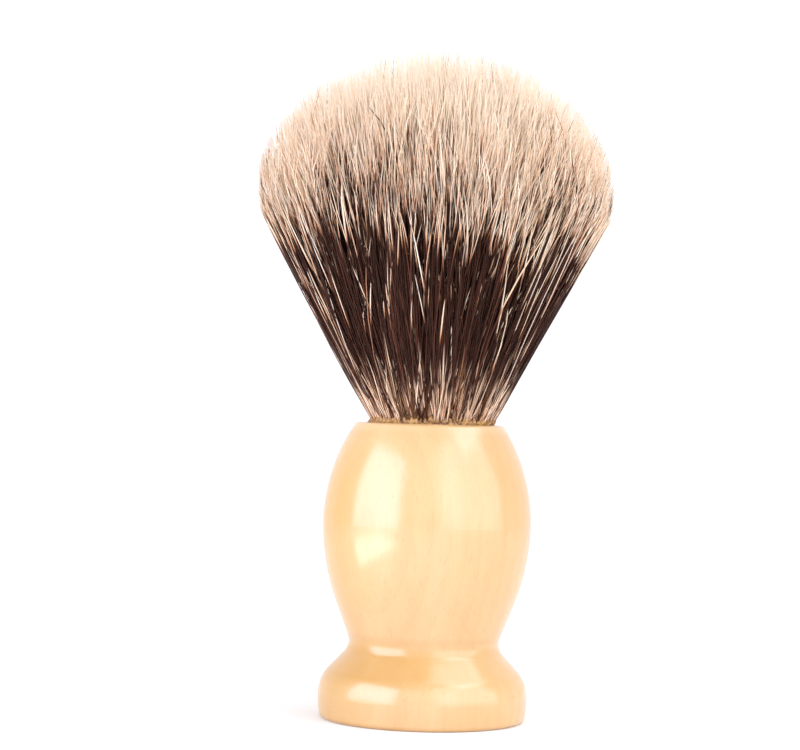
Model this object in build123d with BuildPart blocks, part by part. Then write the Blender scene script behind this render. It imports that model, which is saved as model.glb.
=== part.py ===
"""A shaving brush: a turned and varnished hardwood handle with a fan-shaped knot of animal hair glued into its socket.

The origin is the centre of the foot's flat base, +Z runs up through the handle to the tips of the hair, and every
piece is a body of revolution about Z apart from the wound thread. Lengths are in millimetres, angles in degrees.

The hair is one bundle. Its roots are set in a resin plug and can't move; the free length above them bends about the
mouth of the socket. So the bundle is two solids that meet, with clearance, in a ball-shaped joint: hair_roots below
and hair_bloom above.
"""

import os
from math import cos, radians, sin, sqrt, tan

from build123d import *

# Overall
TOTAL_HEIGHT = 110.0
HANDLE_HEIGHT = 48.5

# Handle outline, as radius and height of each feature
FOOT_BASE_RADIUS = 16.8
FOOT_RADIUS = 17.2
FOOT_WIDEST_HEIGHT = 4.0
FOOT_SHOULDER_RADIUS = 6.0  # radius of the convex curve over the foot
FLARE_ANGLE = 43.0  # the foot's flare, from the vertical
WAIST_FILLET = 2.5
TAPER_ANGLE = 21.0  # the belly's lower taper, from the vertical
BELLY_RADIUS = 17.1
BELLY_HEIGHT = 32.0
BELLY_LOWER_CURVE = 36.0  # radius of the curve from the belly down to the taper
RIM_RADIUS = 12.1  # at the top face, before the edge is eased
RIM_EDGE = 0.8
FOOT_EDGE = 0.9

# Socket, bored with a flat-bottomed bit that leaves the mark of its centre spur
SOCKET_RADIUS = 10.5
SOCKET_DEPTH = 16.0
SOCKET_CHAMFER = 0.35
SPUR_RADIUS = 1.2
SPUR_DEPTH = 1.5

# Knot: the hair, the resin plug that holds its roots and the thread that binds it
KNOT_RADIUS = 10.0
GLUE_FLOOR = 0.8  # glue left under the plug
PLUG_HEIGHT = 9.7
PLUG_WALL = 1.0
PLUG_FLOOR = 2.0
PLUG_EDGE = 0.9
THREAD_DIAMETER = 0.48
THREAD_PITCH = 0.5
THREAD_TURNS = 5
THREAD_CLEARANCE = 0.02

# Free hair
MOUTH_HAIR_RADIUS = 10.15
BLOOM_RADIUS = 29.5
BLOOM_HEIGHT = 87.0  # where the fan is widest
FAN_ANGLE = 29.0  # the outermost hairs, from the vertical
DOME_SHOULDER = 19.0  # radius of the curve from the widest ring up to the crown
BEAD_HEIGHT = 0.7  # bead of glue around the hair, above the rim
BEAD_WIDTH = 0.75  # its foot on the rim, outside the socket

# Bending
PIVOT_HEIGHT = HANDLE_HEIGHT + 3.5
BALL_RADIUS = 12.6
BALL_CLEARANCE = 0.3

# Heights that follow from those
socket_floor = HANDLE_HEIGHT - SOCKET_DEPTH
plug_bottom = socket_floor + GLUE_FLOOR
plug_top = plug_bottom + PLUG_HEIGHT
core_radius = KNOT_RADIUS - PLUG_WALL
fan_slope = tan(radians(FAN_ANGLE))
core_top = HANDLE_HEIGHT - (MOUTH_HAIR_RADIUS - core_radius) / fan_slope


def fan_radius(height):
    """Radius of the straight part of the fan at a height."""
    return MOUTH_HAIR_RADIUS + (height - HANDLE_HEIGHT) * fan_slope


def ball_meets_fan(ball_radius):
    """Where a ball about the pivot meets the fan's side, above the pivot."""
    base = fan_radius(PIVOT_HEIGHT)
    a = 1 + fan_slope**2
    b = base * fan_slope
    rise = (-b + sqrt(b**2 - a * (base**2 - ball_radius**2))) / a
    return (base + rise * fan_slope, PIVOT_HEIGHT + rise)


def ball_arc_middle(ball_radius):
    """A point half-way along the ball's arc from its pole to the fan's side."""
    radius, height = ball_meets_fan(ball_radius)
    x, y = radius, height - PIVOT_HEIGHT + ball_radius
    length = sqrt(x**2 + y**2)
    return (ball_radius * x / length, PIVOT_HEIGHT + ball_radius * y / length)


def finish(piece, name):
    """Labels a piece and writes it as its own file."""
    piece.label = name
    export_step(piece, f"parts/{name}.step")
    print(f"{name}: volume {piece.volume:.1f} mm3")


def build_handle():
    """The turned handle: flared foot, waist, barrel-shaped belly and rim, with the knot's socket bored in the top."""
    shoulder = radians(90 - FLARE_ANGLE)
    shoulder_centre = FOOT_RADIUS - FOOT_SHOULDER_RADIUS
    flare_start = (
        shoulder_centre + FOOT_SHOULDER_RADIUS * sin(shoulder),
        FOOT_WIDEST_HEIGHT + FOOT_SHOULDER_RADIUS * cos(shoulder),
    )
    taper = radians(TAPER_ANGLE)
    taper_start = (
        BELLY_RADIUS - BELLY_LOWER_CURVE * (1 - cos(taper)),
        BELLY_HEIGHT - BELLY_LOWER_CURVE * sin(taper),
    )
    flare_slope, taper_slope = tan(radians(FLARE_ANGLE)), tan(taper)
    waist_height = (
        flare_start[0] - taper_start[0] + flare_slope * flare_start[1] + taper_slope * taper_start[1]
    ) / (flare_slope + taper_slope)
    waist = (taper_start[0] - taper_slope * (taper_start[1] - waist_height), waist_height)

    with BuildPart() as handle:
        with BuildSketch(Plane.XZ) as outline:
            with BuildLine():
                Line((0, 0), (FOOT_BASE_RADIUS, 0))
                TangentArc((FOOT_RADIUS, FOOT_WIDEST_HEIGHT), (FOOT_BASE_RADIUS, 0), tangent=(0, -1))
                TangentArc((FOOT_RADIUS, FOOT_WIDEST_HEIGHT), flare_start, tangent=(0, 1))
                Polyline(flare_start, waist, taper_start)
                TangentArc((BELLY_RADIUS, BELLY_HEIGHT), taper_start, tangent=(0, -1))
                TangentArc((BELLY_RADIUS, BELLY_HEIGHT), (RIM_RADIUS, HANDLE_HEIGHT), tangent=(0, 1))
                Polyline((RIM_RADIUS, HANDLE_HEIGHT), (0, HANDLE_HEIGHT), (0, 0))
            make_face()
            fillet(outline.vertices().sort_by_distance(waist)[0], WAIST_FILLET)
            fillet(outline.vertices().sort_by_distance((RIM_RADIUS, HANDLE_HEIGHT))[0], RIM_EDGE)
            fillet(outline.vertices().sort_by_distance((FOOT_BASE_RADIUS, 0))[0], FOOT_EDGE)
        revolve(axis=Axis.Z)
        with BuildSketch(Plane.XY.offset(HANDLE_HEIGHT)):
            Circle(SOCKET_RADIUS)
        extrude(amount=-SOCKET_DEPTH, mode=Mode.SUBTRACT)
        mouth = handle.edges().filter_by(GeomType.CIRCLE)
        mouth = mouth.filter_by(lambda edge: abs(edge.radius - SOCKET_RADIUS) < 1e-6).sort_by(Axis.Z)[-1]
        chamfer(mouth, SOCKET_CHAMFER)
        with Locations((0, 0, socket_floor - SPUR_DEPTH / 2)):
            Cone(0.1, SPUR_RADIUS, SPUR_DEPTH, mode=Mode.SUBTRACT)
    finish(handle.part, "handle")


def build_setting_adhesive():
    """The glue that beds the knot in its socket, from the socket's floor up to a bead around the hair at the rim."""
    inner_top = HANDLE_HEIGHT + BEAD_HEIGHT
    thread_room = core_radius + THREAD_DIAMETER + 4 * THREAD_CLEARANCE
    thread_room_top = HANDLE_HEIGHT - (MOUTH_HAIR_RADIUS - thread_room) / fan_slope
    bead_foot = SOCKET_RADIUS + BEAD_WIDTH
    with BuildPart() as adhesive:
        with BuildSketch(Plane.XZ):
            with BuildLine():
                Polyline(
                    (0, socket_floor),
                    (SOCKET_RADIUS, socket_floor),
                    (SOCKET_RADIUS, HANDLE_HEIGHT - SOCKET_CHAMFER),
                    (SOCKET_RADIUS + SOCKET_CHAMFER, HANDLE_HEIGHT),
                    (bead_foot, HANDLE_HEIGHT),
                )
                RadiusArc((bead_foot, HANDLE_HEIGHT), (fan_radius(inner_top), inner_top), -1.2)
                Polyline(
                    (fan_radius(inner_top), inner_top),
                    (thread_room, thread_room_top),
                    (thread_room, plug_top),
                    (KNOT_RADIUS, plug_top),
                    (KNOT_RADIUS, plug_bottom + PLUG_EDGE),
                )
                RadiusArc(
                    (KNOT_RADIUS, plug_bottom + PLUG_EDGE), (KNOT_RADIUS - PLUG_EDGE, plug_bottom), PLUG_EDGE
                )
                Polyline((KNOT_RADIUS - PLUG_EDGE, plug_bottom), (0, plug_bottom), (0, socket_floor))
            make_face()
        revolve(axis=Axis.Z)
    finish(adhesive.part, "setting_adhesive")


def build_knot_plug():
    """The cast resin plug: a cup around the ends of the hair, with its bottom edge rounded by the mould."""
    with BuildPart() as plug:
        with BuildSketch(Plane.XY.offset(plug_bottom)):
            Circle(KNOT_RADIUS)
        extrude(amount=PLUG_HEIGHT)
        fillet(plug.edges().filter_by(GeomType.CIRCLE).sort_by(Axis.Z)[0], PLUG_EDGE)
        with BuildSketch(Plane.XY.offset(plug_bottom + PLUG_FLOOR)):
            Circle(core_radius)
        extrude(amount=PLUG_HEIGHT - PLUG_FLOOR, mode=Mode.SUBTRACT)
    finish(plug.part, "knot_plug")


def build_binding_thread():
    """The thread wound round the hair above the plug, as one continuous coil."""
    coil_radius = core_radius + THREAD_CLEARANCE + THREAD_DIAMETER / 2
    coil_bottom = plug_top + THREAD_CLEARANCE + THREAD_DIAMETER / 2
    with BuildPart() as thread:
        with BuildLine() as path:
            Helix(THREAD_PITCH, THREAD_PITCH * THREAD_TURNS, coil_radius, center=(0, 0, coil_bottom))
        with BuildSketch(Plane(path.line @ 0, z_dir=path.line % 0)):
            Circle(THREAD_DIAMETER / 2)
        sweep(path=path.line, is_frenet=True)
    finish(thread.part, "binding_thread")


def build_hair_roots():
    """The fixed length of the hair: a core in the plug and thread, the start of the fan, and a ball-shaped top."""
    side = ball_meets_fan(BALL_RADIUS)
    with BuildPart() as roots:
        with BuildSketch(Plane.XZ):
            with BuildLine():
                Polyline(
                    (0, PIVOT_HEIGHT + BALL_RADIUS),
                    (0, plug_bottom + PLUG_FLOOR),
                    (core_radius, plug_bottom + PLUG_FLOOR),
                    (core_radius, core_top),
                    side,
                )
                ThreePointArc(side, ball_arc_middle(BALL_RADIUS), (0, PIVOT_HEIGHT + BALL_RADIUS))
            make_face()
        revolve(axis=Axis.Z)
    finish(roots.part, "hair_roots")


def build_hair_bloom():
    """The free length of the hair: a fan that opens from the handle and ends in a dome of tips."""
    ball = BALL_RADIUS + BALL_CLEARANCE
    side = ball_meets_fan(ball)
    turn_radius = (BLOOM_RADIUS - fan_radius(BLOOM_HEIGHT)) / (
        1 - cos(radians(FAN_ANGLE)) - sin(radians(FAN_ANGLE)) * fan_slope
    )
    turn_start = (
        BLOOM_RADIUS - turn_radius * (1 - cos(radians(FAN_ANGLE))),
        BLOOM_HEIGHT - turn_radius * sin(radians(FAN_ANGLE)),
    )
    dome_height = TOTAL_HEIGHT - BLOOM_HEIGHT
    shoulder_centre = BLOOM_RADIUS - DOME_SHOULDER
    crown_radius = (dome_height**2 + shoulder_centre**2 - DOME_SHOULDER**2) / (2 * (dome_height - DOME_SHOULDER))
    crown_centre_drop = crown_radius - dome_height
    share = DOME_SHOULDER / (crown_radius - DOME_SHOULDER)
    crown_start = (shoulder_centre * (1 + share), BLOOM_HEIGHT + crown_centre_drop * share)
    with BuildPart() as bloom:
        with BuildSketch(Plane.XZ):
            with BuildLine():
                Line((0, TOTAL_HEIGHT), (0, PIVOT_HEIGHT + ball))
                ThreePointArc((0, PIVOT_HEIGHT + ball), ball_arc_middle(ball), side)
                Line(side, turn_start)
                TangentArc((BLOOM_RADIUS, BLOOM_HEIGHT), turn_start, tangent=(0, -1))
                TangentArc((BLOOM_RADIUS, BLOOM_HEIGHT), crown_start, tangent=(0, 1))
                TangentArc((0, TOTAL_HEIGHT), crown_start, tangent=(1, 0))
            make_face()
        revolve(axis=Axis.Z)
    finish(bloom.part, "hair_bloom")


os.makedirs("parts", exist_ok=True)
build_handle()
build_setting_adhesive()
build_knot_plug()
build_binding_thread()
build_hair_roots()
build_hair_bloom()
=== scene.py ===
"""Looks for a shaving brush: a varnished wood handle and a knot of several thousand separate hairs.

Lengths are in metres, in the model's own frame: the brush stands on z = 0 with its axis on Z, and the camera
looks along +Y. MM turns millimetres into metres.
"""
import math

import bpy
import numpy as np
from mathutils import Matrix, Vector


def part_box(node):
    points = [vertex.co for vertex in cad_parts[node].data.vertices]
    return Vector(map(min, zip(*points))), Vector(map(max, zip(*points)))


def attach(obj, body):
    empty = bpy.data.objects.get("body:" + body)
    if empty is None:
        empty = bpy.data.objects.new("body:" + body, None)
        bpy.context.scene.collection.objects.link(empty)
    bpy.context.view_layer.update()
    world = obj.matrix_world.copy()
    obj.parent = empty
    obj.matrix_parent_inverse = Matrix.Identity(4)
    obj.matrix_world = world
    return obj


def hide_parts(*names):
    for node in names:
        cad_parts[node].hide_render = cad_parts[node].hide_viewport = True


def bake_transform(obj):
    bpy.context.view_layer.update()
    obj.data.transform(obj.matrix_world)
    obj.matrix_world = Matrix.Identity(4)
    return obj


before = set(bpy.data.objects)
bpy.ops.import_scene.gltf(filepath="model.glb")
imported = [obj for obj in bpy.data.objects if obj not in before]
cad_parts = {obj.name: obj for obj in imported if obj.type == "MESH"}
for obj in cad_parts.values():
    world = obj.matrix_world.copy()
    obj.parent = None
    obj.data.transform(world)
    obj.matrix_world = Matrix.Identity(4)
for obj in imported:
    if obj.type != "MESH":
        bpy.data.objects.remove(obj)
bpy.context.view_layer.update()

MM = 0.001

# Camera, measured from the brush's axis
CAMERA_DISTANCE = 378 * MM
CAMERA_HEIGHT = 51 * MM
AIM_LEFT = 5.15 * MM
AIM_HEIGHT = 56.4 * MM
VIEW_WIDTH = 132 * MM  # at the brush's axis
CAMERA_ROLL = math.radians(1.65)
SENSOR = 36.0

# Hair
HAIRS = 12600  # a multiple of PIECES
TUFTS = 950
PIECES = 6
MOUTH_HAIR_RADIUS = 10.0 * MM
PLUG_HAIR_RADIUS = 8.9 * MM
PLUG_DEPTH = 9 * MM
WIDEST_HEIGHT = 87 * MM
FAN_ANGLE = math.radians(29)
DOME_POWER = 1.95  # 2 would make the dome's profile an ellipse
# The knot sits a little to one side of the socket, and its crown to the other
LEAN_HEIGHTS = (48.5 * MM, 64 * MM, 83 * MM, 90 * MM)
LEAN_SHIFTS = (0.45 * MM, 0.0, 0.0, -0.2 * MM)
CLIMB_PLACE = -3.2 * MM  # across the mouth, where the dark band climbs highest
CLIMB_WIDTH = 1.8 * MM
STRAY_SHARE = 0.18  # hairs that leave their tuft and lean at random
BROKEN_SHARE = 0.12  # hairs whose pale tips end lower down, many of them strays
COARSE_SHARE = 0.22
COARSE_RADIUS = 0.150 * MM
FINE_RADIUS = 0.104 * MM
RADIUS_SPREAD = 0.014 * MM
SHADES = 512  # steps of u that tell one hair from the next
HAIR_SPAN = 80 * MM  # length that v = 1 stands for
PALE_SHARE = 0.04  # hairs with no dark band

# Glue
SOCKET_RADIUS = 10.5 * MM
BEAD_WIDTH = 0.75 * MM
BEAD_HEIGHT = 0.85 * MM

rng = np.random.default_rng(7)

for name in ("Cube", "Light", "Camera"):
    leftover = bpy.data.objects.get(name)
    if leftover:
        bpy.data.objects.remove(leftover)


# ---------------------------------------------------------------- node helpers
def new_material(name):
    """A material with an empty Principled shader, and a small kit to add nodes to it."""
    material = bpy.data.materials.new(name)
    material.use_nodes = True
    tree = material.node_tree
    return material, tree.nodes["Principled BSDF"], tree


def add(tree, kind, **settings):
    """A node of this kind, with its properties and, by input name, its sockets set."""
    node = tree.nodes.new(kind)
    for key, value in settings.items():
        if hasattr(node, key):
            setattr(node, key, value)
        else:
            node.inputs[key.replace("_", " ")].default_value = value
    return node


def link(tree, source, target):
    """Joins an output socket to an input socket."""
    tree.links.new(source, target)


def ramp(tree, factor, *stops):
    """A colour ramp driven by factor; stops are (place, colour or grey)."""
    node = tree.nodes.new("ShaderNodeValToRGB")
    elements = node.color_ramp.elements
    while len(elements) < len(stops):
        elements.new(0.5)
    for element, (place, value) in zip(elements, stops):
        element.position = place
        colour = value if isinstance(value, tuple) else (value, value, value)
        element.color = (*colour, 1)
    link(tree, factor, node.inputs["Fac"])
    return node.outputs["Color"]


def mix(tree, factor, a, b, blend="MIX"):
    """A colour mix. factor, a and b are sockets or plain values."""
    node = tree.nodes.new("ShaderNodeMix")
    node.data_type = "RGBA"
    node.blend_type = blend
    for socket, value in ((node.inputs[0], factor), (node.inputs[6], a), (node.inputs[7], b)):
        if isinstance(value, bpy.types.NodeSocket):
            link(tree, value, socket)
        elif isinstance(value, tuple):
            socket.default_value = (*value, 1)
        else:
            socket.default_value = value
    return node.outputs[2]


def noise(tree, vector, scale, detail=2.0, roughness=0.5):
    """Noise at this scale over the vector."""
    node = add(tree, "ShaderNodeTexNoise", Scale=scale, Detail=detail, Roughness=roughness)
    link(tree, vector, node.inputs["Vector"])
    return node.outputs["Fac"]


def maths(tree, operation, a, b=0.0):
    """A sum on two sockets or plain values."""
    node = add(tree, "ShaderNodeMath", operation=operation)
    for socket, value in zip(node.inputs, (a, b)):
        if isinstance(value, bpy.types.NodeSocket):
            link(tree, value, socket)
        else:
            socket.default_value = value
    return node.outputs[0]


def stretched(tree, scale, location=(0, 0, 0), rotation=(0, 0, 0)):
    """The object's coordinates, scaled by axis."""
    coordinates = tree.nodes.new("ShaderNodeTexCoord")
    mapping = add(tree, "ShaderNodeMapping")
    mapping.inputs["Scale"].default_value = scale
    mapping.inputs["Location"].default_value = location
    mapping.inputs["Rotation"].default_value = rotation
    link(tree, coordinates.outputs["Object"], mapping.inputs["Vector"])
    return mapping.outputs["Vector"]


# ---------------------------------------------------------------- materials
def wood_material():
    """Pale fine-grained hardwood under clear varnish, with faint rings, short fibres and pores.

    The tone is deeper toward the left and right sides, in the waist and along the foot's bottom edge, all of
    it painted shade and strongest on the left, and paler at the worn rim."""
    material, shader, tree = new_material("varnished_wood_grain")
    warp = noise(tree, stretched(tree, (60, 60, 12)), 1.0, 3)
    rings = add(tree, "ShaderNodeTexWave", wave_type="RINGS", rings_direction="Z", wave_profile="SAW")
    rings.inputs["Scale"].default_value = 120
    rings.inputs["Distortion"].default_value = 2.5
    rings.inputs["Detail"].default_value = 2
    rings.inputs["Detail Scale"].default_value = 0.4
    link(tree, stretched(tree, (1, 1, 0.03), (0.031, 0.044, 0), (0.05, 0.04, 0)), rings.inputs["Vector"])
    fibres = noise(tree, stretched(tree, (2600, 2600, 90)), 1.0, 3, 0.6)
    pores = noise(tree, stretched(tree, (2400, 2400, 420)), 1.0, 2, 0.5)
    blotches = noise(tree, stretched(tree, (90, 90, 35)), 1.0, 3, 0.6)
    ground = ramp(tree, blotches, (0.30, (0.66, 0.408, 0.162)), (0.70, (0.76, 0.508, 0.242)))
    ring_lines = ramp(tree, rings.outputs["Fac"], (0.45, 0.0), (1.0, 0.16))
    ringed = mix(tree, ring_lines, ground, (0.62, 0.34, 0.105))
    fibrous = mix(tree, ramp(tree, fibres, (0.50, 0.0), (0.80, 0.30)), ringed, (0.62, 0.34, 0.11))
    pored = mix(tree, ramp(tree, pores, (0.60, 0.0), (0.70, 0.24)), fibrous, (0.50, 0.27, 0.10))
    toned = mix(tree, ramp(tree, warp, (0.35, 0.0), (0.75, 0.18)), pored, (0.80, 0.57, 0.28))
    height = add(tree, "ShaderNodeSeparateXYZ")
    link(tree, stretched(tree, (1 / handle_box[1].z,) * 3), height.inputs["Vector"])
    # Painted shade: darker, more orange colour in the waist's crease and along the foot's bottom edge, where
    # shade falls.
    foot_edge_shade, waist = ((0.0, 0.5), (0.02, 0.0)), ((0.12, 0.0), (0.16, 0.85), (0.24, 0.85), (0.30, 0.0))
    crease_shade = ramp(tree, height.outputs["Z"], *foot_edge_shade, *waist)
    worn = ramp(tree, height.outputs["Z"], (0.965, 0.0), (0.985, 0.22), (1.0, 0.30))
    # Painted shade: the colour grows darker and more orange toward the left and right sides (-X and +X), most
    # on the left, standing in for the light falling off at the sides when seen from the front.
    across = add(tree, "ShaderNodeSeparateXYZ")
    half = handle_box[1].x
    link(tree, stretched(tree, (0.5 / half,) * 3, (0.5, 0, 0)), across.inputs["Vector"])
    left, right = ((0.0, 0.75), (0.12, 0.50), (0.30, 0.06)), ((0.70, 0.24), (0.90, 0.30), (1.0, 0.50))
    side = ramp(tree, across.outputs["X"], *left, (0.55, 0.0), *right)
    with_side_shade = mix(tree, side, toned, (0.57, 0.30, 0.025))
    # The painted shade in the waist and at the foot's edge is strongest on the left side, where less light
    # falls.
    crease_shade_by_side = ramp(tree, across.outputs["X"], (0.1, 1.0), (0.45, 0.55), (0.8, 0.35))
    with_crease_shade = mix(tree, maths(tree, "MULTIPLY", crease_shade, crease_shade_by_side), with_side_shade, (0.54, 0.27, 0.012))
    link(tree, mix(tree, worn, with_crease_shade, (0.84, 0.62, 0.34)), shader.inputs["Base Color"])
    shader.inputs["Specular IOR Level"].default_value = 0.25
    link(tree, ramp(tree, fibres, (0.3, 0.40), (0.8, 0.50)), shader.inputs["Roughness"])
    shader.inputs["Coat Weight"].default_value = 1.0
    shader.inputs["Coat Roughness"].default_value = 0.20
    shader.inputs["Coat IOR"].default_value = 2.0
    shader.inputs["Coat Tint"].default_value = (1.0, 0.96, 0.90, 1)
    grain = noise(tree, stretched(tree, (240, 240, 240)), 1.0, 2)
    surface = maths(tree, "ADD", fibres, maths(tree, "MULTIPLY", grain, 2.0))
    bump = add(tree, "ShaderNodeBump")
    bump.inputs["Strength"].default_value = 0.12
    bump.inputs["Distance"].default_value = 0.05 * MM
    link(tree, surface, bump.inputs["Height"])
    link(tree, bump.outputs["Normal"], shader.inputs["Normal"])
    coat_bump = add(tree, "ShaderNodeBump")
    coat_bump.inputs["Strength"].default_value = 0.15
    coat_bump.inputs["Distance"].default_value = 0.05 * MM
    link(tree, noise(tree, stretched(tree, (300, 300, 200)), 1.0, 1), coat_bump.inputs["Height"])
    link(tree, coat_bump.outputs["Normal"], shader.inputs["Coat Normal"])
    return material


def hair_material():
    """Banded hair: cream at the tip, then tan, dark and pale at the root.

    Each hair has its own u, which sets how long its pale tip is, and v is the distance from its tip over
    HAIR_SPAN. The top of u's range is for pale hairs, which have no dark band."""
    material, shader, tree = new_material("banded_hair")
    uv = add(tree, "ShaderNodeUVMap", uv_map="OFBake")
    split = add(tree, "ShaderNodeSeparateXYZ")
    link(tree, uv.outputs["UV"], split.inputs["Vector"])
    u, v = split.outputs["X"], split.outputs["Y"]
    chance = add(tree, "ShaderNodeTexWhiteNoise", noise_dimensions="1D")
    link(tree, maths(tree, "FLOOR", maths(tree, "MULTIPLY", u, SHADES)), chance.inputs["W"])
    split_chance = add(tree, "ShaderNodeSeparateColor")
    link(tree, chance.outputs["Color"], split_chance.inputs["Color"])
    tint, root_tint, length_chance = split_chance.outputs
    span = 60.0  # mm of hair that the ramps below cover
    millimetres = maths(tree, "MULTIPLY", v, HAIR_SPAN / MM)
    jitter = maths(tree, "MULTIPLY", maths(tree, "SUBTRACT", length_chance, 0.5), 4.0)
    shift = maths(tree, "ADD", maths(tree, "MULTIPLY", maths(tree, "SUBTRACT", u, 0.46), 14.0), jitter)
    place = maths(tree, "DIVIDE", maths(tree, "SUBTRACT", millimetres, shift), span)
    root_place = maths(tree, "DIVIDE", maths(tree, "SUBTRACT", millimetres, jitter), span)
    cream = ramp(tree, tint, (0.0, (0.97, 0.86, 0.73)), (0.55, (0.95, 0.76, 0.58)), (1.0, (0.88, 0.57, 0.36)))
    tan = ramp(tree, tint, (0.0, (0.72, 0.38, 0.20)), (0.6, (0.50, 0.20, 0.088)), (1.0, (0.30, 0.09, 0.035)))
    dark_stops = (0.0, (0.014, 0.004, 0.003)), (0.7, (0.036, 0.010, 0.007)), (1.0, (0.12, 0.040, 0.024))
    dark = ramp(tree, tint, *dark_stops)
    root_stops = (0.10, (0.06, 0.020, 0.011)), (0.36, (0.52, 0.26, 0.13)), (0.66, (0.98, 0.74, 0.55))
    root = ramp(tree, root_tint, *root_stops)
    straw = mix(tree, ramp(tree, root_tint, (0.35, 0.0), (1.0, 0.60)), cream, (0.86, 0.68, 0.43))
    tipped = mix(tree, ramp(tree, place, (5 / span, 0.0), (8.5 / span, 1.0)), straw, tan)
    banded = mix(tree, ramp(tree, place, (7.4 / span, 0.0), (9.4 / span, 1.0)), tipped, dark)
    rooted = mix(tree, ramp(tree, root_place, (31 / span, 0.0), (36 / span, 1.0)), banded, root)
    pale_stops = (0.0, (0.96, 0.80, 0.66)), (0.5, (0.72, 0.44, 0.29)), (1.0, (0.36, 0.15, 0.08))
    pale = ramp(tree, tint, *pale_stops)
    is_pale = maths(tree, "GREATER_THAN", u, 1 - PALE_SHARE)
    link(tree, mix(tree, is_pale, rooted, pale), shader.inputs["Base Color"])
    shader.inputs["Roughness"].default_value = 0.42
    shader.inputs["Specular IOR Level"].default_value = 0.28
    shader.inputs["Specular Tint"].default_value = (1.0, 0.70, 0.50, 1)
    return material


def floor_material():
    """White paper that glows a little, so that it reads as a lit studio sweep."""
    material, shader, tree = new_material("studio_paper")
    tone = noise(tree, stretched(tree, (40, 40, 40)), 1.0, 4)
    link(tree, ramp(tree, tone, (0.3, 0.81), (0.7, 0.84)), shader.inputs["Base Color"])
    shader.inputs["Roughness"].default_value = 0.9
    shader.inputs["Specular IOR Level"].default_value = 0.1
    shader.inputs["Emission Color"].default_value = (1, 1, 1, 1)
    shader.inputs["Emission Strength"].default_value = 0.11
    return material


def resin_material(name, light, dark, roughness):
    """Cloudy resin between two tones."""
    material, shader, tree = new_material(name)
    cloud = noise(tree, stretched(tree, (1300, 1300, 1300)), 1.0, 4, 0.6)
    link(tree, ramp(tree, cloud, (0.38, dark), (0.62, light)), shader.inputs["Base Color"])
    link(tree, ramp(tree, cloud, (0.2, roughness), (0.8, roughness + 0.15)), shader.inputs["Roughness"])
    bump = add(tree, "ShaderNodeBump")
    bump.inputs["Strength"].default_value = 0.3
    bump.inputs["Distance"].default_value = 0.1 * MM
    link(tree, cloud, bump.inputs["Height"])
    link(tree, bump.outputs["Normal"], shader.inputs["Normal"])
    return material


def thread_material():
    """Waxed cotton thread with the shadows of its strands."""
    material, shader, tree = new_material("waxed_thread")
    strands = noise(tree, stretched(tree, (3000, 3000, 9000), rotation=(0.5, 0, 0)), 1.0, 3, 0.6)
    colour = ramp(tree, strands, (0.35, (0.52, 0.42, 0.28)), (0.7, (0.86, 0.80, 0.68)))
    link(tree, colour, shader.inputs["Base Color"])
    shader.inputs["Roughness"].default_value = 0.7
    bump = add(tree, "ShaderNodeBump")
    bump.inputs["Strength"].default_value = 0.3
    bump.inputs["Distance"].default_value = 0.05 * MM
    link(tree, strands, bump.inputs["Height"])
    link(tree, bump.outputs["Normal"], shader.inputs["Normal"])
    return material


# ---------------------------------------------------------------- hair
bloom_box, handle_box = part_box("hair_bloom"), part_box("handle")
rim_height = handle_box[1].z
top_height = bloom_box[1].z
bloom_radius = bloom_box[1].x
apex_height = rim_height - MOUTH_HAIR_RADIUS / math.tan(FAN_ANGLE)


def dome_share(points):
    """How far points are from the centre of the widest ring, as a share of the way to the dome of tips."""
    flat = np.linalg.norm(points[..., :2], axis=-1) / bloom_radius
    rise = np.maximum(points[..., 2] - WIDEST_HEIGHT, 0) / (top_height - WIDEST_HEIGHT)
    return (flat**DOME_POWER + rise**DOME_POWER) ** (1 / DOME_POWER)


def dome_reach(slope):
    """Height at which a line from the apex, leaning out by slope, meets the dome of tips."""
    low, high = np.full(len(slope), rim_height), np.full(len(slope), top_height)
    for _ in range(30):
        middle = (low + high) / 2
        point = np.stack([slope * (middle - apex_height), np.zeros(len(slope)), middle], 1)
        inside = dome_share(point) < 1
        low, high = np.where(inside, middle, low), np.where(inside, high, middle)
    return low


def smooth_noise(points, scale, seed):
    """Soft random values about 0 for points in the plane: a sum of a few sine waves."""
    waves = np.random.default_rng(seed)
    total = np.zeros(len(points))
    for _ in range(7):
        direction = waves.normal(size=2)
        direction *= waves.uniform(0.6, 1.6) / np.linalg.norm(direction) / scale
        total += np.sin(points @ direction * 2 * math.pi + waves.uniform(0, 2 * math.pi))
    return total / 7**0.5 / 0.7


def fan_radius(height):
    """Radius of the fan's side at a height."""
    return MOUTH_HAIR_RADIUS + (height - rim_height) * math.tan(FAN_ANGLE)


def held_in_fan(points):
    """Points with any that stray outside the fan's side drawn back to it."""
    radius = np.linalg.norm(points[..., :2], axis=-1)
    share = radius / np.minimum(fan_radius(np.maximum(points[..., 2], rim_height)), bloom_radius)
    kept = np.where(share > 0.93, 0.93 + 0.07 * np.tanh((share - 0.93) / 0.07), share)
    pulled = points.copy()
    pulled[..., :2] *= (kept / np.maximum(share, 1e-9))[..., None]
    centre = np.array([0, 0, WIDEST_HEIGHT])
    beyond = dome_share(pulled)
    over = (pulled[..., 2] > WIDEST_HEIGHT) & (beyond > 1)
    pulled[over] = centre + (pulled[over] - centre) / beyond[over][:, None]
    return pulled


def nearest(points, centres):
    """For each point in the plane, the index of its nearest centre."""
    found = np.empty(len(points), int)
    for start in range(0, len(points), 2000):
        part = points[start:start + 2000]
        found[start:start + 2000] = ((part[:, None] - centres[None]) ** 2).sum(2).argmin(1)
    return found


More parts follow.
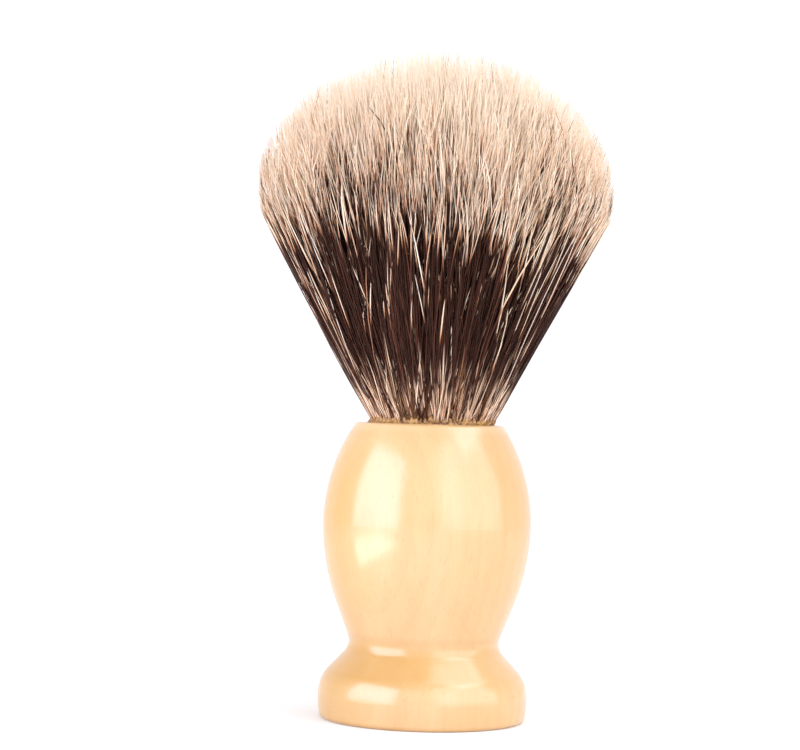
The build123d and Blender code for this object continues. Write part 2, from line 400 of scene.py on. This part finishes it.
def hair_paths(count):
    """Points along each hair from the plug to the tip, where it leaves the socket, its tuft and whether it is
    broken. The points are an array of count x stations x 3."""
    radius = np.sqrt(rng.uniform(0, 1, count))
    angle = rng.uniform(0, 2 * math.pi, count)
    out = np.stack([np.cos(angle), np.sin(angle)], 1)
    mouth_flat = out * (radius * MOUTH_HAIR_RADIUS)[:, None]
    lean = mouth_flat / (rim_height - apex_height)
    middle_of_tuft = rng.choice(count, TUFTS, replace=False)
    tuft = nearest(mouth_flat, mouth_flat[middle_of_tuft])
    pull = rng.uniform(0.20, 0.85, TUFTS)[tuft]
    stray = rng.uniform(size=count) < STRAY_SHARE
    broken = rng.uniform(size=count) < BROKEN_SHARE
    stray = stray | (broken & (rng.uniform(size=count) < 0.6))
    pull = np.where(stray, 0, pull)[:, None]
    spread = np.where(stray, 0.105, 0.018)[:, None]
    waves = np.stack([smooth_noise(mouth_flat, 1.6 * MM, 11), smooth_noise(mouth_flat, 1.6 * MM, 12)], 1)
    lean = lean * (1 - pull) + lean[middle_of_tuft][tuft] * pull + rng.normal(0, 0.040, (TUFTS, 2))[tuft]
    lean = lean + waves * 0.016 + rng.normal(0, 1, (count, 2)) * spread
    steep = np.linalg.norm(lean, axis=1)
    limit = math.tan(FAN_ANGLE) * 0.99
    lean *= np.minimum(1, limit / steep)[:, None]
    steep = np.minimum(steep, limit)
    tip_height = dome_reach(steep)
    short = rng.gamma(1.3, 0.7 * MM, count) + rng.gamma(1.0, 0.6 * MM, TUFTS)[tuft]
    short = np.where(broken, rng.uniform(0.06, 0.48, count) * (tip_height - rim_height), short)
    tip_height = tip_height - short + 0.8 * MM
    tip = np.concatenate([lean * (tip_height - apex_height)[:, None], tip_height[:, None]], 1)
    mouth = np.concatenate([mouth_flat, np.full((count, 1), rim_height)], 1)
    plug_flat = mouth_flat * (PLUG_HAIR_RADIUS / MOUTH_HAIR_RADIUS)
    plug = np.concatenate([plug_flat, np.full((count, 1), rim_height - PLUG_DEPTH)], 1)
    along = np.array([0, 0.10, 0.25, 0.42, 0.60, 0.76, 0.89, 1.0])
    chord = tip - mouth
    length = np.linalg.norm(chord, axis=1)[:, None, None]
    s = along[None, :, None]
    bow = (rng.normal(0, 0.020, (count, 1, 3)) + rng.normal(0, 0.014, (TUFTS, 1, 3))[tuft]) * length
    bow = bow * np.where(broken, 2.2, 1)[:, None, None]
    wave = rng.normal(0, 0.010, (count, 1, 3)) * length
    flick = (rng.normal(0, 0.022, (count, 1, 3)) + rng.normal(0, 0.022, (TUFTS, 1, 3))[tuft]) * length
    points = mouth[:, None] + chord[:, None] * s
    points = points + bow * (4 * s * (1 - s)) + flick * s**3
    points = points + wave * np.sin(s * 2 * math.pi) * np.minimum(s * 4, 1)
    points = held_in_fan(points)
    points[..., 0] += np.interp(points[..., 2], LEAN_HEIGHTS, LEAN_SHIFTS)
    return np.concatenate([plug[:, None], points], 1), mouth_flat, tuft, broken


def band_climb(roots):
    """How far up the dark band climbs, about 0 to 1, by where a hair leaves the socket.

    It climbs highest left of the front."""
    across = (roots[:, 0] - CLIMB_PLACE) / CLIMB_WIDTH
    in_front = np.clip(0.5 - roots[:, 1] / (4 * MM), 0, 1)
    return np.exp(-(across**2) / 2) * in_front


def hair_widths(distance_from_tip, girth):
    """A hair's radius along its length: fine tip, thickest near the tip, thinner to the root."""
    d = distance_from_tip / MM
    profile = np.interp(d, [0, 2, 6, 14, 30, 70], [0.14, 0.55, 0.90, 1.0, 0.85, 0.65])
    return profile * girth[:, None]


def hair_mesh(name, points, radii, shade):
    """One mesh of three-sided tapering hairs, each closed at both ends."""
    count, stations, _ = points.shape
    along = np.gradient(points, axis=1)
    along /= np.linalg.norm(along, axis=2, keepdims=True)
    side = np.cross(along, np.array([0.3, 0.9, 0.2]))
    side /= np.linalg.norm(side, axis=2, keepdims=True)
    up = np.cross(along, side)
    turn = rng.uniform(0, 2 * math.pi, count)[:, None, None]
    rings = []
    for corner in range(3):
        a = turn + corner * 2 * math.pi / 3
        rings.append(points + radii[:, :, None] * (np.cos(a) * side + np.sin(a) * up))
    vertices = np.stack(rings, 2).reshape(-1, 3)
    first = (np.arange(count) * stations * 3)[:, None]
    base = first[:, :, None]
    ring = (np.arange(stations - 1) * 3)[None, :, None]
    corners = np.arange(3)[None, None, :]
    after = (corners + 1) % 3
    quads = [base + ring + corners, base + ring + after, base + ring + 3 + after, base + ring + 3 + corners]
    quads = np.stack(quads, 3).reshape(-1, 4)
    last = first + (stations - 1) * 3
    ends = np.concatenate([first + np.array([[2, 1, 0]]), last + np.array([[0, 1, 2]])])
    loops = np.concatenate([quads.ravel(), ends.ravel()])
    mesh = bpy.data.meshes.new(name)
    mesh.vertices.add(len(vertices))
    mesh.vertices.foreach_set("co", vertices.astype(np.float32).ravel())
    mesh.loops.add(len(loops))
    mesh.loops.foreach_set("vertex_index", loops.astype(np.int32))
    mesh.polygons.add(len(quads) + len(ends))
    starts = np.concatenate([np.arange(len(quads)) * 4, quads.size + np.arange(len(ends)) * 3])
    mesh.polygons.foreach_set("loop_start", starts.astype(np.int32))
    smooth = np.concatenate([np.ones(len(quads), bool), np.zeros(len(ends), bool)])
    mesh.polygons.foreach_set("use_smooth", smooth)
    mesh.update(calc_edges=True)
    steps = np.linalg.norm(np.diff(points, axis=1), axis=2)
    from_tip = np.concatenate([np.cumsum(steps[:, ::-1], 1)[:, ::-1], np.zeros((count, 1))], 1)
    v = np.clip(from_tip / HAIR_SPAN, 0.001, 0.999)
    u = np.repeat(shade[:, None], stations, 1)
    vertex_uv = np.stack([np.repeat(u[:, :, None], 3, 2), np.repeat(v[:, :, None], 3, 2)], 3).reshape(-1, 2)
    layer = mesh.uv_layers.new(name="OFBake")
    layer.data.foreach_set("uv", vertex_uv[loops].astype(np.float32).ravel())
    piece = bpy.data.objects.new(name, mesh)
    bpy.context.scene.collection.objects.link(piece)
    return piece


def grow_hair():
    """Every hair, sorted by its place round the axis and shared out among the pieces."""
    pieces = []
    per_piece = HAIRS // PIECES
    points, roots, tuft, broken = hair_paths(HAIRS)
    order = np.argsort(np.arctan2(roots[:, 1], roots[:, 0]))
    points, roots, tuft, broken = points[order], roots[order], tuft[order], broken[order]
    steps = np.linalg.norm(np.diff(points, axis=1), axis=2)
    from_tip = np.concatenate([np.cumsum(steps[:, ::-1], 1)[:, ::-1], np.zeros((HAIRS, 1))], 1)
    is_coarse = rng.uniform(size=HAIRS) < COARSE_SHARE
    coarse = rng.normal(COARSE_RADIUS, RADIUS_SPREAD, HAIRS)
    fine = rng.normal(FINE_RADIUS, RADIUS_SPREAD, HAIRS)
    girth = np.where(is_coarse, coarse, fine).clip(0.04 * MM, 0.18 * MM)
    radii = hair_widths(from_tip, girth)
    inward = 1 - np.linalg.norm(roots, axis=1) / MOUTH_HAIR_RADIUS
    across = roots[:, 0]
    tone = 0.22 + 2.5 * inward - 0.56 * band_climb(roots) * np.clip(1 - 2.2 * inward, 0, 1)
    tone = tone + 0.05 * np.exp(-((across - 1.5 * MM) / (3 * MM)) ** 2)
    tone = tone - 0.08 * (across / MOUTH_HAIR_RADIUS) ** 2
    tone = tone + 0.09 * smooth_noise(roots, 2.2 * MM, 21) + 0.13 * smooth_noise(roots, 0.7 * MM, 22)
    tone = np.where(broken, tone + 0.36, tone)
    tone = tone + rng.normal(0, 0.10, HAIRS) + rng.normal(0, 0.16, TUFTS)[tuft]
    tone = tone.clip(0.002, 0.998) * (1 - PALE_SHARE)
    pale = rng.uniform(size=HAIRS) < PALE_SHARE
    tone = np.where(pale, rng.uniform(1 - PALE_SHARE + 0.004, 0.998, HAIRS), tone)
    shade = (np.floor(tone * SHADES) + 0.5) / SHADES
    material = hair_material()
    for index in range(PIECES):
        part = slice(index * per_piece, (index + 1) * per_piece)
        piece = hair_mesh(f"hair_{index + 1}", points[part], radii[part], shade[part])
        piece.data.materials.append(material)
        pieces.append(piece)
    return pieces


hair_pieces = grow_hair()
for piece in hair_pieces:
    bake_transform(piece)
    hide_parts("hair_roots", "hair_bloom")


# ---------------------------------------------------------------- glue
def lathed(name, profile, turns):
    """A mesh turned from a profile of (radius, height) that starts on the axis; closed if it ends there."""
    angles = np.arange(turns) * 2 * math.pi / turns
    closed = profile[-1][0] == 0
    ring = profile[1:-1] if closed else profile[1:]
    points = [(0, 0, profile[0][1])]
    points += [(r * math.cos(a), r * math.sin(a), z) for a in angles for r, z in ring]
    faces = []
    for turn in range(turns):
        here, there = 1 + turn * len(ring), 1 + (turn + 1) % turns * len(ring)
        faces.append((0, there, here))
        faces += [(here + i, there + i, there + i + 1, here + i + 1) for i in range(len(ring) - 1)]
        if closed:
            faces.append((here + len(ring) - 1, there + len(ring) - 1, len(points)))
    if closed:
        points.append((0, 0, profile[-1][1]))
    mesh = bpy.data.meshes.new(name)
    mesh.from_pydata(points, [], faces)
    mesh.polygons.foreach_set("use_smooth", np.ones(len(faces), bool))
    piece = bpy.data.objects.new(name, mesh)
    bpy.context.scene.collection.objects.link(piece)
    return piece


def knot_glue():
    """The glue that beds the knot: a sleeve and floor in the socket, and a lumpy bead at the rim."""
    socket_floor, plug_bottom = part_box("setting_adhesive")[0].z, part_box("knot_plug")[0].z
    plug_top, plug_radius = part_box("knot_plug")[1].z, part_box("knot_plug")[1].x
    thread_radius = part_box("binding_thread")[1].x + 0.05 * MM
    foot = [(SOCKET_RADIUS, socket_floor), (SOCKET_RADIUS, rim_height - 0.35 * MM)]
    foot += [(SOCKET_RADIUS + 0.30 * MM, rim_height - 0.04 * MM)]
    arch = []
    for t in np.linspace(0, math.pi, 15):
        reach = BEAD_WIDTH * (1 + math.cos(t)) / 2
        arch.append((SOCKET_RADIUS - 0.90 * MM + reach, rim_height + BEAD_HEIGHT * math.sin(t) ** 0.8))
    inside = [(thread_radius, rim_height - 0.6 * MM), (thread_radius, plug_top), (plug_radius, plug_top)]
    inside += [(plug_radius, plug_bottom + 0.9 * MM), (plug_radius - 0.9 * MM, plug_bottom)]
    profile = [(0, socket_floor)] + foot + arch + inside + [(0, plug_bottom)]
    piece = lathed("knot_glue", profile, 600)
    points = np.empty(len(piece.data.vertices) * 3)
    piece.data.vertices.foreach_get("co", points)
    points = points.reshape(-1, 3)
    share = np.clip((points[:, 2] - rim_height) / BEAD_HEIGHT, 0, 1)
    flat = points[:, :2]
    lumps = 0.20 * smooth_noise(flat, 1.3 * MM, 31) + 0.16 * smooth_noise(flat, 0.45 * MM, 32)
    lumps = lumps * (1 + 0.4 * points[:, 0] / SOCKET_RADIUS)
    crumbs = 0.14 * smooth_noise(flat + points[:, 2:3] * 1.7, 0.22 * MM, 33)
    radius = np.linalg.norm(flat, axis=1).clip(1e-6)
    points[:, 2] += share * BEAD_HEIGHT * np.maximum(lumps * 1.4 + crumbs, -0.7)
    points[:, :2] += flat / radius[:, None] * (share * BEAD_WIDTH * (lumps * 0.5 + crumbs))[:, None]
    points[:, 0] += np.clip(share * 3, 0, 1) * LEAN_SHIFTS[0]
    piece.data.vertices.foreach_set("co", points.ravel())
    piece.data.update()
    amber = resin_material("amber_adhesive", (0.66, 0.38, 0.12), (0.15, 0.055, 0.018), 0.28)
    piece.data.materials.append(amber)
    return piece


glue = knot_glue()
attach(glue, "handle_body")
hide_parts("setting_adhesive")

# ---------------------------------------------------------------- CAD nodes
finishes = {
    "handle": wood_material(),
    "knot_plug": resin_material("plug_resin_finish", (0.50, 0.30, 0.12), (0.36, 0.19, 0.07), 0.3),
    "binding_thread": thread_material(),
}
for node, material in finishes.items():
    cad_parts[node].data.materials[0] = material


# ---------------------------------------------------------------- studio
def aim(thing, target, roll=0.0):
    """Points a camera or light at a target, with Z up, then rolls it."""
    forward = (target - thing.location).normalized()
    right = forward.cross(Vector((0, 0, 1))).normalized()
    up = right.cross(forward)
    turn = Matrix((right, up, -forward)).transposed()
    thing.rotation_euler = (turn @ Matrix.Rotation(roll, 3, "Z")).to_euler()


def soft_box(name, location, target, width, height, watts, colour=(1, 1, 1)):
    """A rectangular area light that faces the target."""
    light = bpy.data.lights.new(name, "AREA")
    light.shape = "RECTANGLE"
    light.size, light.size_y = width, height
    light.energy = watts
    light.color = colour
    lamp = bpy.data.objects.new(name, light)
    lamp.location = location
    bpy.context.scene.collection.objects.link(lamp)
    aim(lamp, Vector(target))
    return lamp


camera_data = bpy.data.cameras.new("camera")
camera_data.sensor_width = SENSOR
camera_data.lens = SENSOR * CAMERA_DISTANCE / VIEW_WIDTH
camera_data.clip_start = 0.01
camera = bpy.data.objects.new("camera", camera_data)
camera.location = (0, -CAMERA_DISTANCE, CAMERA_HEIGHT)
bpy.context.scene.collection.objects.link(camera)
aim(camera, Vector((-AIM_LEFT, 0, AIM_HEIGHT)), CAMERA_ROLL)
bpy.context.scene.camera = camera

soft_box("left_box", (-0.33, -0.20, 0.19), (0, 0, 0.19), 0.42, 0.36, 1.10, (0.90, 0.90, 1.16))
soft_box("left_card", (-0.145, -0.08, 0.003), (-0.145, -0.0799, 0.1), 0.14, 0.12, 0.14)
soft_box("right_box", (0.274, -0.21, 0.26), (0, 0, 0.26), 0.50, 0.50, 0.98, (0.98, 0.95, 1.05))
soft_box("top_box", (0.27, -0.05, 0.56), (0, 0, 0.055), 0.42, 0.42, 0.85, (1.0, 0.94, 1.04))
soft_box("front_box", (0, -0.75, 0.30), (0, 0, 0.03), 0.9, 0.6, 0.30)
soft_box("backdrop_box", (0, 0.25, 0.80), (0, 0.9, 0.15), 1.2, 0.3, 0.7)

FLAT_RADIUS, COVE_RADIUS, WALL_HEIGHT = 0.65, 0.25, 0.90
outline = [(FLAT_RADIUS * share, 0.0) for share in (0.3, 0.7, 1.0)]
for t in np.linspace(0, math.pi / 2, 16)[1:]:
    outline.append((FLAT_RADIUS + COVE_RADIUS * math.sin(t), COVE_RADIUS * (1 - math.cos(t))))
outline.append((FLAT_RADIUS + COVE_RADIUS, WALL_HEIGHT))
floor = lathed("floor", [(0, 0)] + outline, 96)
floor.data.flip_normals()
floor.data.materials.append(floor_material())

world = bpy.data.worlds.new("studio")
world.use_nodes = True
world.node_tree.nodes["Background"].inputs["Color"].default_value = (1, 1, 1, 1)
world.node_tree.nodes["Background"].inputs["Strength"].default_value = 0.92
bpy.context.scene.world = world
bpy.context.scene.view_settings.view_transform = "Standard"
